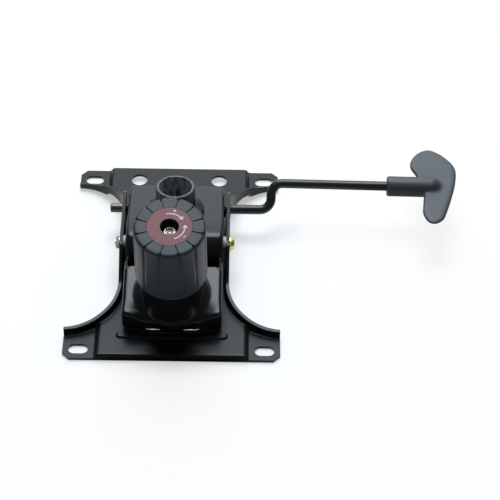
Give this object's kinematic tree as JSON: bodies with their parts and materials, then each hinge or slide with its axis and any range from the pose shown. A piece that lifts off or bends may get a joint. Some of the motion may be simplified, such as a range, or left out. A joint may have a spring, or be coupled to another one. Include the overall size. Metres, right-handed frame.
{
  "type": "office chair tilt mechanism",
  "caption": "Tilt mechanism for an office chair: slotted seat plate, spring-loaded tub with a gas-lift socket, grooved tension knob and a cranked release lever.",
  "frame": {"origin": "centre of the four seat slots, on the face that lies against the seat", "axes": "+Z out of the seat face towards the gas lift, -Y to the chair's front, +X to the lever's side"},
  "size_m": [0.3274, 0.222, 0.1296],
  "materials": {
    "plate_enamel": "black stove enamel, satin, fine orange peel",
    "housing_enamel": "black stove enamel, satin, over a drawn stamping",
    "rod_enamel": "gloss black enamel, bare at the left end",
    "knob_plastic": "black moulded plastic, fine grain",
    "label_red": "dusty crimson film with white arrows",
    "grip_plastic": "dark grey moulded plastic, satin",
    "zinc_yellow": "yellow chromated zinc",
    "zinc_bright": "bright zinc plate",
    "nylon_pale": "pale grey nylon",
    "nylon_black": "black nylon",
    "spring_steel": "dark oiled spring steel",
    "stop_rubber": "black rubber"
  },
  "bodies": {
    "seat_plate": {"seat_plate": "plate_enamel", "anchor_strap": "plate_enamel", "pivot_bolt": "zinc_yellow", "pivot_washer": "zinc_bright", "pivot_nut": "zinc_bright", "front_bumpers": "stop_rubber", "rear_bumpers": "stop_rubber"},
    "control_housing": {"control_housing": "housing_enamel", "taper_socket": "housing_enamel", "spring_cup": "housing_enamel", "pivot_tube": "housing_enamel", "pivot_bush_right": "nylon_pale", "pivot_bush_left": "nylon_pale", "lever_bush_right": "nylon_black", "lever_bush_left": "nylon_black", "tension_spring": "spring_steel"},
    "tension_bolt": {"tension_bolt": "zinc_bright", "saddle_washer": "zinc_bright"},
    "spring_seat": {"spring_seat": "zinc_bright", "thrust_washer": "nylon_pale"},
    "tension_knob": {"tension_knob": "knob_plastic", "knob_label": "label_red", "tension_nut": "zinc_yellow"},
    "release_tongue": {"release_tongue": "zinc_bright"},
    "lever": {"lever_rod": "rod_enamel", "rod_clip": "zinc_bright", "lever_handle": "grip_plastic"}
  },
  "joints": [
    {"name": "seat_tilt", "type": "hinge", "parent": "seat_plate", "child": "control_housing", "pos_m": [0, -0.006, 0.03], "axis": [-1, 0, 0], "range_deg": [0, 12], "stiffness_Nm_per_rad": 150, "springref_deg": -17.76, "deforming": ["tension_spring"]},
    {"name": "bolt_swing", "type": "hinge", "parent": "seat_plate", "child": "tension_bolt", "pos_m": [0, -0.06032, 0.0079], "axis": [-1, 0, 0], "range_deg": [0, 9.4]},
    {"name": "preload_travel", "type": "slide", "parent": "tension_bolt", "child": "spring_seat", "axis": [0, 0.1908, -0.9816], "range_m": [-0.00152, 0.00602]},
    {"name": "knob_turn", "type": "hinge", "parent": "spring_seat", "child": "tension_knob", "pos_m": [0, -0.06032, 0.0079], "axis": [0, 0.1908, -0.9816], "range_deg": [-360, 1440]},
    {"name": "lever_turn", "type": "hinge", "parent": "control_housing", "child": "release_tongue", "pos_m": [0, 0.04, 0.026], "axis": [-1, 0, 0], "range_deg": [0, 10], "stiffness_Nm_per_rad": 1, "springref_deg": -11.46},
    {"name": "lever_slide", "type": "slide", "parent": "release_tongue", "child": "lever", "axis": [1, 0, 0], "range_m": [0, 0.01]}
  ],
  "couplings": [
    {"joint": "bolt_swing", "follows": "seat_tilt", "ratio": 0.7723},
    {"joint": "preload_travel", "follows": "knob_turn", "m_per_rad": 0.00023873}
  ]
}
